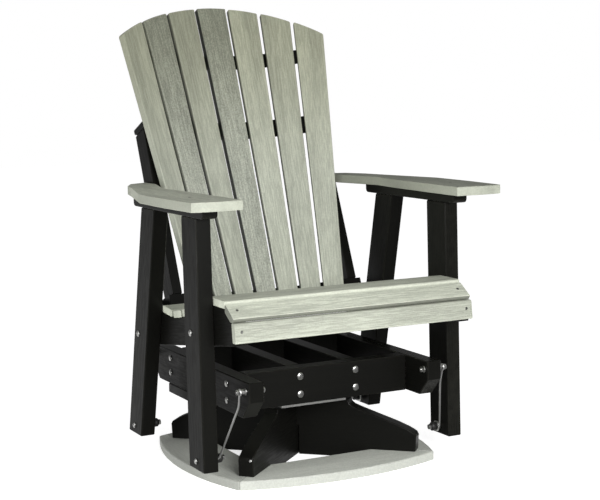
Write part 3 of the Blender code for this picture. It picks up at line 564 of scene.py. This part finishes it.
# %% Steel group
SCRATCH_SCALE = (900, 900, 60)
PATCH_SCALE, BLEND_RANGE = 90.0, (0.7, 1.3)
steel_group, given, wanted = start_group(
    "Worked Steel",
    [("Place", VECTOR, None), ("Patch", FLOAT, PATCH_SCALE)],
    [("Gloss", FLOAT), ("Height", FLOAT)],
)
patch = add_noise(steel_group, given["Place"], given["Patch"], detail=3.0)
scratch = add_noise(steel_group, stretch(steel_group, given["Place"], SCRATCH_SCALE), 1.0, detail=1.0)
blended = add_math(steel_group, "ADD", patch, scratch)
steel_group.links.new(span(steel_group, blended, *BLEND_RANGE), wanted["Gloss"])
steel_group.links.new(scratch, wanted["Height"])
print("group:", steel_group.name)

# %% [markdown]
# ## Metals and rubber
# One steel could do for all, but the bolt heads shine, the plates and links are duller and paler, and the screws
# of the seat and arms are dark, partly as a painted shade for their sunken holes. The black spacers and bushings
# are drawn as rubber, whose gloss is finely uneven.

# %% Metals and rubber
DIM_SHARE, SCRATCH_DEPTH, SCRATCH_STRENGTH = 0.86, 0.00005, 0.5
SPECKLE_SCALE, SPECKLE_RANGE, RUBBER_ROUGHNESS = 700.0, (0.3, 0.7), (0.45, 0.6)
RUBBER_DEEP, RUBBER_PALE = (0.006, 0.006, 0.006, 1), (0.012, 0.012, 0.011, 1)


def worked_steel(name, colour, low, high):
    """A steel whose roughness goes from low to high."""
    made = bpy.data.materials.new(name)
    made.use_nodes = True
    tree = made.node_tree
    shader = tree.nodes["Principled BSDF"]
    steel = tree.nodes.new("ShaderNodeGroup")
    steel.node_tree = steel_group
    tree.links.new(object_place(tree), steel.inputs["Place"])
    gloss = steel.outputs["Gloss"]
    tree.links.new(span(tree, gloss, 0.0, 1.0, low, high), shader.inputs["Roughness"])
    dim = (*(part * DIM_SHARE for part in colour), 1)
    tree.links.new(mix_colours(tree, gloss, (*colour, 1), dim), shader.inputs["Base Color"])
    bump = add_bump(tree, steel.outputs["Height"], SCRATCH_DEPTH, SCRATCH_STRENGTH)
    tree.links.new(bump, shader.inputs["Normal"])
    shader.inputs["Metallic"].default_value = 1.0
    return made


STEEL = worked_steel("bright_steel_worked", colour=(0.66, 0.66, 0.64), low=0.20, high=0.38)
PLATE_STEEL = worked_steel("plate_steel", colour=(0.86, 0.86, 0.84), low=0.45, high=0.60)
WIRE_STEEL = worked_steel("link_steel", colour=(0.90, 0.90, 0.88), low=0.34, high=0.48)
# The screws' dark steel is partly painted shade for their sunken holes, which are not cut.
DARK_STEEL = worked_steel("screw_steel", colour=(0.16, 0.16, 0.15), low=0.30, high=0.45)
RUBBER = bpy.data.materials.new("black_spacer")
RUBBER.use_nodes = True
shader = RUBBER.node_tree.nodes["Principled BSDF"]
tree = RUBBER.node_tree
speckle = add_noise(tree, object_place(tree), SPECKLE_SCALE)
tree.links.new(mix_colours(tree, speckle, RUBBER_DEEP, RUBBER_PALE), shader.inputs["Base Color"])
tree.links.new(span(tree, speckle, *SPECKLE_RANGE, *RUBBER_ROUGHNESS), shader.inputs["Roughness"])
print("metals:", STEEL.name, PLATE_STEEL.name, WIRE_STEEL.name, DARK_STEEL.name, "and", RUBBER.name)

# %% [markdown]
# ## Turning plates
# Two steel plates with a bearing between them let the frame turn. New ones could be drawn, but only an edge
# of them shows under the apron, so they are the solids with their corners broken.

# %% Turning plates
PLATE_EDGE = 0.0006
for node in ("swivel_base_plate", "swivel_top_plate"):
    bm = merged_copy(node)
    round_corners(bm, PLATE_EDGE)
    plate = as_piece(bm, f"{node}_dressed", BODY_OF[node], PLATE_STEEL)
    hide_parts(node)

# %% [markdown]
# ## Turned shapes
# Bolt heads, washers, spacers and eyes are round. Each could be a stack of cylinders, but a single profile
# that is spun about its axis keeps them in one closed skin. Nuts are the exception: a circle of six corners,
# pushed up and bevelled.

# %% Turned shapes
ROUND_STEPS = 28
NUT_EASE_SHARE = 0.08
DOME_RIM_SHARE, DOME_FOOT_SHARE, DOME_STEPS = 0.28, 0.97, 6


def spin_profile(bm, profile, place, closed=False):
    """Spins (radius, height) points about the axis of place."""
    verts = [bm.verts.new((radius, 0, height)) for radius, height in profile]
    pairs = list(zip(verts, verts[1:] + verts[:1] if closed else verts[1:]))
    edges = [bm.edges.new(pair) for pair in pairs]
    before = set(bm.verts) - set(verts)
    bmesh.ops.spin(
        bm, geom=verts + edges, cent=(0, 0, 0), axis=(0, 0, 1), angle=2 * pi, steps=ROUND_STEPS,
        use_merge=True,
    )
    made = [vert for vert in bm.verts if vert not in before]
    bmesh.ops.remove_doubles(bm, verts=made, dist=MERGE)
    made = [vert for vert in bm.verts if vert not in before]
    bmesh.ops.transform(bm, matrix=place, verts=made)
    faces = list({face for vert in made for face in vert.link_faces})
    bmesh.ops.recalc_face_normals(bm, faces=faces)


def push_nut(bm, radius, low, high, place):
    """A six-sided nut from low to high along the axis of place."""
    circle = bmesh.ops.create_circle(
        bm, cap_ends=True, segments=6, radius=radius, matrix=place @ Matrix.Translation((0, 0, low))
    )
    bottom = circle["verts"][0].link_faces[0]
    pushed = bmesh.ops.extrude_face_region(bm, geom=[bottom], use_keep_orig=True)
    tops = [item for item in pushed["geom"] if isinstance(item, bmesh.types.BMVert)]
    bmesh.ops.translate(bm, verts=tops, vec=place.to_3x3() @ Vector((0, 0, high - low)))
    faces = list({face for vert in tops + circle["verts"] for face in vert.link_faces})
    bmesh.ops.recalc_face_normals(bm, faces=faces)
    edges = list({edge for face in faces for edge in face.edges})
    round_edges(bm, edges, radius * NUT_EASE_SHARE)


def facing(spot, direction):
    """A place at spot whose Z axis points in a direction."""
    return Matrix.Translation(spot) @ Vector(direction).to_track_quat("Z", "Y").to_matrix().to_4x4()


def dome_head(radius, height, sink=0.0):
    """Profile of a round, domed bolt head on a face at height 0."""
    rim = height * DOME_RIM_SHARE
    turns = np.linspace(0, pi / 2, DOME_STEPS + 1)[:-1]
    curve = [(radius * cos(turn), rim + (height - rim) * sin(turn)) for turn in turns]
    return [(0, -sink), (radius * DOME_FOOT_SHARE, -sink), (radius, rim / 2), *curve, (0, height)]


print("steps to a circle:", ROUND_STEPS)

# %% [markdown]
# ## Bolts through the frame
# Round-headed bolts, bright against the black, go through the aprons, the rails and the legs. They are left
# out of the solids, since they are small. Whole bolts could be made, but only their heads show, so only these
# are drawn, on the boards' outer faces.

# %% Bolts through the frame
HEAD_SINK = 0.0005


def add_heads(name, body, spots, direction, radius, height):
    """One piece with a domed head at each spot."""
    bm = bmesh.new()
    for spot in spots:
        spin_profile(bm, dome_head(radius, height, HEAD_SINK), facing(spot, direction))
    as_piece(bm, name, body, STEEL)


APRON_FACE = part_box("apron_front")[0].y
RAIL_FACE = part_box("frame_rail_right")[1].x
LEG_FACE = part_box("leg_front_right")[1].x
APRON_HEAD, SMALL_HEAD = (0.0090, 0.0042), (0.0080, 0.0036)
APRON_BOLTS = [(x, z) for x in (-0.0763, 0.0763) for z in (0.1985, 0.2422)]
RAIL_BOLTS = ((-0.173, 0.2404), (-0.173, 0.2004), (0.178, 0.2428), (0.178, 0.2049))
LEG_BOLTS = ((-0.1864, 0.3732), (0.156, 0.3188))
for end, way in (("front", 1), ("rear", -1)):
    spots = [(x, way * APRON_FACE, z) for x, z in APRON_BOLTS]
    add_heads(f"apron_bolts_{end}", "glider_frame", spots, (0, -way, 0), *APRON_HEAD)
for side, way in (("left", -1), ("right", 1)):
    spots = [(way * RAIL_FACE, y, z) for y, z in RAIL_BOLTS]
    add_heads(f"rail_bolts_{side}", "glider_frame", spots, (way, 0, 0), *SMALL_HEAD)
    spots = [(way * LEG_FACE, y, z) for y, z in LEG_BOLTS]
    add_heads(f"leg_bolts_{side}", "chair", spots, (way, 0, 0), *SMALL_HEAD)
print("bolt heads:", 2 * (len(APRON_BOLTS) + len(RAIL_BOLTS) + len(LEG_BOLTS)))

# %% [markdown]
# ## Screws in the slats and arms
# Dark, flush screws hold the two front slats and the arms. A hole could be cut in each board, but a screw is only
# a dark dimple from here: a low ring with a sunken, coned middle. Its dark colour is partly painted shade for the
# hole. A brighter one sits in each toe of the pedestal. One such screw shows in the photograph, and the other
# three follow it round the pedestal.

# %% Screws in the slats and arms
SCREW_RADIUS = 0.0036
SLANT_SCREW, FRONT_SCREW, ARM_SCREW = (0.2950, -0.3195), (0.2990, 0.3950), (0.3534, -0.200)
TOE_SCREW_HEIGHT, TOE_SCREW_SHIFT = 0.062, 0.012
OUTSIDE, ABOVE_ARM = 0.60, 0.80
SCREW_PROFILE = ((0, 0.0001), (0.35, 0.0001), (0.55, 0.0004), (0.92, 0.0005), (1, -0.0003), (0, -0.0003))


def spot_on(node, start, direction):
    """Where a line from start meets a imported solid, and which way that face looks."""
    bm = merged_copy(node)
    spot, normal, _, _ = BVHTree.FromBMesh(bm).ray_cast(Vector(start), Vector(direction))
    bm.free()
    return spot, normal


def add_screws(name, body, places, material=DARK_STEEL):
    """One piece with a flush screw head at each (spot, direction)."""
    bm = bmesh.new()
    cup = [(SCREW_RADIUS * share, height) for share, height in SCREW_PROFILE]
    for spot, direction in places:
        spin_profile(bm, cup, facing(spot, direction))
    as_piece(bm, name, body, material)


slat_screws = []
for side, way in (("left", -1), ("right", 1)):
    x, y = SLANT_SCREW
    slat_screws.append(spot_on("seat_slat_2", (way * x, y, OUTSIDE), (0, 0, -1)))
    x, z = FRONT_SCREW
    slat_screws.append(spot_on("seat_slat_1", (way * x, -OUTSIDE, z), (0, 1, 0)))
    x, y = ARM_SCREW
    arm_screw = spot_on(f"arm_{side}", (way * x, y, ABOVE_ARM), (0, 0, -1))
    add_screws(f"arm_screws_{side}", "chair", [arm_screw])
add_screws("seat_screws", "chair", slat_screws)
toe_screws = []
for node in ("pedestal_board_a", "pedestal_board_b"):
    bm = merged_copy(node)
    outward = board_axes(bm)[0]
    bm.free()
    outward = Vector((outward.x, outward.y, 0)).normalized()
    for way in (-1, 1):
        toe = way * outward
        start = toe * OUTSIDE + Vector(UP).cross(toe) * TOE_SCREW_SHIFT + Vector((0, 0, TOE_SCREW_HEIGHT))
        toe_screws.append(spot_on(node, start, -toe))
add_screws("toe_screws", "base", toe_screws, material=STEEL)
print("screws:", len(slat_screws) + 2 + len(toe_screws))

# %% [markdown]
# ## Link route
# A link is a bent steel rod with a loop at each end. It could be a curve with a round bevel, but the ring of
# edges that is pushed along the route shows how a sweep works: each push adds one station, and turns to face
# along the route. The bends are shares of the way from the upper pivot to the lower one.

# %% Link route
ROD_RADIUS = 0.0024
EYE_HALF = 0.0035
BEND_SHARES = (
    (0.10, 0.0, 0.045), (0.22, 0.0, 0.12), (0.36, 0.16, 0.24),
    (0.89, 0.82, 0.685), (0.965, 0.93, 0.79), (1.0, 1.0, 0.865),
)


def joint_place(name):
    return Vector(next(joint["pos_m"] for joint in frame["joints"] if joint["name"] == name))


def smooth_route(points, steps=8):
    """The route through the points as a soft curve, each stretch in a few steps."""
    padded = [2 * points[0] - points[1], *points, 2 * points[-1] - points[-2]]
    route = []
    for before, start, end, after in zip(padded, padded[1:], padded[2:], padded[3:]):
        for step in range(steps):
            t = step / steps
            square = 2 * before - 5 * start + 4 * end - after
            cube = 3 * start - before - 3 * end + after
            route.append(0.5 * (2 * start + (end - before) * t + square * t**2 + cube * t**3))
    return [*route, points[-1]]


def sweep_rod(bm, route, radius, sides_round=14):
    """Pushes a ring of edges along the route and closes both ends."""
    stations = zip(route, [route[0], *route[:-1]], [*route[1:], route[-1]])
    turns = [facing(spot, after - before) for spot, before, after in stations]
    ring = bmesh.ops.create_circle(bm, segments=sides_round, radius=radius, matrix=turns[0])["verts"]
    edges = list({edge for vert in ring for edge in vert.link_edges})
    ends = [edges]
    for last, new in zip(turns, turns[1:]):
        pushed = bmesh.ops.extrude_edge_only(bm, edges=edges)["geom"]
        verts = [item for item in pushed if isinstance(item, bmesh.types.BMVert)]
        bmesh.ops.transform(bm, matrix=new @ last.inverted(), verts=verts)
        lines = [item for item in pushed if isinstance(item, bmesh.types.BMEdge)]
        edges = [line for line in lines if all(vert in verts for vert in line.verts)]
    ends.append(edges)
    for loop in ends:
        bmesh.ops.edgeloop_fill(bm, edges=loop)


print("swing at", tuple(joint_place("glide")), "seat at", tuple(joint_place("seat_level")))

# %% [markdown]
# ## Links
# The chair hangs on four links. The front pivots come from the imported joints, and the rear ones mirror them,
# so the links swing as the solids do. A loop could be bent into the rod's route, but a closed ring about the
# pivot is always round. The lower loop holds a black bushing. On the rear links this loop is wider and sits a
# little forward, because they only follow the front ones, and their bolts drift by a few millimetres.

# %% Links
PIVOTS = {"front": (joint_place("glide"), joint_place("seat_level"))}
PIVOTS["rear"] = tuple(Vector((0, -spot.y, spot.z)) for spot in PIVOTS["front"])
link_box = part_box("link_front_right")
TOP_EYE_X, FOOT_EYE_X = link_box[0].x + EYE_HALF, link_box[1].x - EYE_HALF
TOP_LOOP, FOOT_LOOP, LOOSE_LOOP = 0.0066, 0.0111, 0.0131
BUSH_BORE, BUSH_HALF, BUSH_SINK = 0.0043, 0.0035, 0.0006
LOOSE_PLAY, ROD_SINK = 0.0025, 0.001
RING_STEPS = 12


def wire_loop(bm, middle, radius, way):
    """A closed ring of rod about a pivot."""
    turns = np.linspace(0, 2 * pi, RING_STEPS + 1)[:-1]
    profile = [(radius + ROD_RADIUS * cos(turn), ROD_RADIUS * sin(turn)) for turn in turns]
    spin_profile(bm, profile, facing(middle, (way, 0, 0)), closed=True)


for end, (swing, seat) in PIVOTS.items():
    for side, way in (("left", -1), ("right", 1)):
        top = Vector((way * TOP_EYE_X, swing.y, swing.z))
        foot = Vector((way * FOOT_EYE_X, seat.y, seat.z))
        run = foot - top
        bends = [top + Vector((out * run.x, along * run.y, drop * run.z)) for drop, out, along in BEND_SHARES]
        bm = bmesh.new()
        route = smooth_route([top, *bends])
        sweep_rod(bm, [spot for spot in route if (spot - top).length > TOP_LOOP - ROD_SINK], ROD_RADIUS)
        play = 0 if end == "front" else LOOSE_PLAY
        foot_loop = FOOT_LOOP if end == "front" else LOOSE_LOOP
        foot_middle = foot - Vector((0, play, 0))
        wire_loop(bm, top, TOP_LOOP, way)
        wire_loop(bm, foot_middle, foot_loop, way)
        link = as_piece(bm, f"link_{end}_{side}_rod", f"{end}_links", WIRE_STEEL)
        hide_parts(f"link_{end}_{side}")
        bm = bmesh.new()
        bore = BUSH_BORE + play
        rim = foot_loop - ROD_RADIUS + BUSH_SINK
        bush = [(bore, -BUSH_HALF), (rim, -BUSH_HALF), (rim, BUSH_HALF), (bore, BUSH_HALF)]
        spin_profile(bm, bush, facing(foot_middle, (way, 0, 0)), closed=True)
        as_piece(bm, f"link_bush_{end}_{side}", f"{end}_links", RUBBER)
        print(link.name, "drop", round(run.z, 4), "out", round(run.x, 4))

# %% [markdown]
# ## Pivots
# Each eye turns on a bolt. At the top the bolt goes through the rail, with a nut inside, and a nut on each
# side of the eye. At the foot it comes through the leg from outside, and a black spacer and a nut hold the
# eye from within. All could be one turned shape, but the nuts' corners show. The boxes of the rail, the leg
# and the link say how far each part reaches.

# %% Pivots
BOLT_RADIUS, NUT_RADIUS, SPACER_RADIUS = 0.0040, 0.0072, 0.0110
FIT = 0.0003
THREAD_EASE, TIP_SHARE, WASHER_EASE_SHARE = 0.0008, 0.8, 0.25
TOP_THREADS, FOOT_THREADS = (0.0108, 0.0060), (0.0060, 0.001)
INNER_WASHER_RADIUS, INNER_WASHER_THICK = 0.0085, 0.0015
OUTER_WASHER_RADIUS, OUTER_WASHER_REACH = 0.0080, 0.0020
INNER_NUT, END_NUT, FOOT_NUT = 0.0070, 0.0052, 0.0054
SPACER_LENGTH, SPACER_GAP = 0.0142, 0.0001
FOOT_HEAD = (0.0068, 0.0045)
RAIL_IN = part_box("frame_rail_right")[0].x
LEG_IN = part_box("leg_front_right")[0].x


def shank(low, high):
    """Profile of a bolt's threaded length with chamfered ends."""
    tip = BOLT_RADIUS * TIP_SHARE
    thread = [(BOLT_RADIUS, low + THREAD_EASE), (BOLT_RADIUS, high - THREAD_EASE)]
    return [(0, low), (tip, low), *thread, (tip, high), (0, high)]


def washer(radius, low, high):
    """Profile of a ring about the bolt, with its outer edges eased."""
    ease = (high - low) * WASHER_EASE_SHARE
    rim = [(radius - ease, low), (radius, low + ease), (radius, high - ease), (radius - ease, high)]
    return [(BOLT_RADIUS, low), *rim, (BOLT_RADIUS, high)]


for end, (swing, seat) in PIVOTS.items():
    for side, way in (("left", -1), ("right", 1)):
        axis = facing((0, swing.y, swing.z), (way, 0, 0))
        inner, outer = TOP_EYE_X - EYE_HALF - FIT, TOP_EYE_X + EYE_HALF + FIT
        bm = bmesh.new()
        spin_profile(bm, shank(RAIL_IN - TOP_THREADS[0], outer + TOP_THREADS[1]), axis)
        nut_seat = RAIL_IN - FIT - INNER_WASHER_THICK
        spin_profile(bm, washer(INNER_WASHER_RADIUS, nut_seat, RAIL_IN - FIT), axis, closed=True)
        push_nut(bm, NUT_RADIUS, nut_seat - INNER_NUT, nut_seat, axis)
        nut_seat = RAIL_FACE + OUTER_WASHER_REACH
        spin_profile(bm, washer(OUTER_WASHER_RADIUS, RAIL_FACE + FIT, nut_seat), axis, closed=True)
        push_nut(bm, NUT_RADIUS, nut_seat, inner, axis)
        push_nut(bm, NUT_RADIUS, outer, outer + END_NUT, axis)
        pivot = as_piece(bm, f"top_pivot_{end}_{side}", "glider_frame", STEEL)
        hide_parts(f"top_pivot_bolt_{end}_{side}")
        axis = facing((0, seat.y, seat.z), (way, 0, 0))
        inner, outer = FOOT_EYE_X - EYE_HALF - FIT, FOOT_EYE_X + EYE_HALF + FIT
        start = inner - SPACER_LENGTH
        bm = bmesh.new()
        spin_profile(bm, shank(start - FOOT_THREADS[0], LEG_FACE + FOOT_THREADS[1]), axis)
        push_nut(bm, NUT_RADIUS, start - FOOT_NUT, start, axis)
        spin_profile(bm, washer(INNER_WASHER_RADIUS, outer, LEG_IN - FIT), axis, closed=True)
        spin_profile(bm, dome_head(*FOOT_HEAD), axis @ Matrix.Translation((0, 0, LEG_FACE + FIT)))
        pivot = as_piece(bm, f"lower_pivot_{end}_{side}", "chair", STEEL)
        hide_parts(f"lower_pivot_bolt_{end}_{side}")
        bm = bmesh.new()
        spin_profile(bm, washer(SPACER_RADIUS, start + SPACER_GAP, inner), axis, closed=True)
        as_piece(bm, f"pivot_spacer_{end}_{side}", "chair", RUBBER)
print("pivots:", 4 * len(PIVOTS))
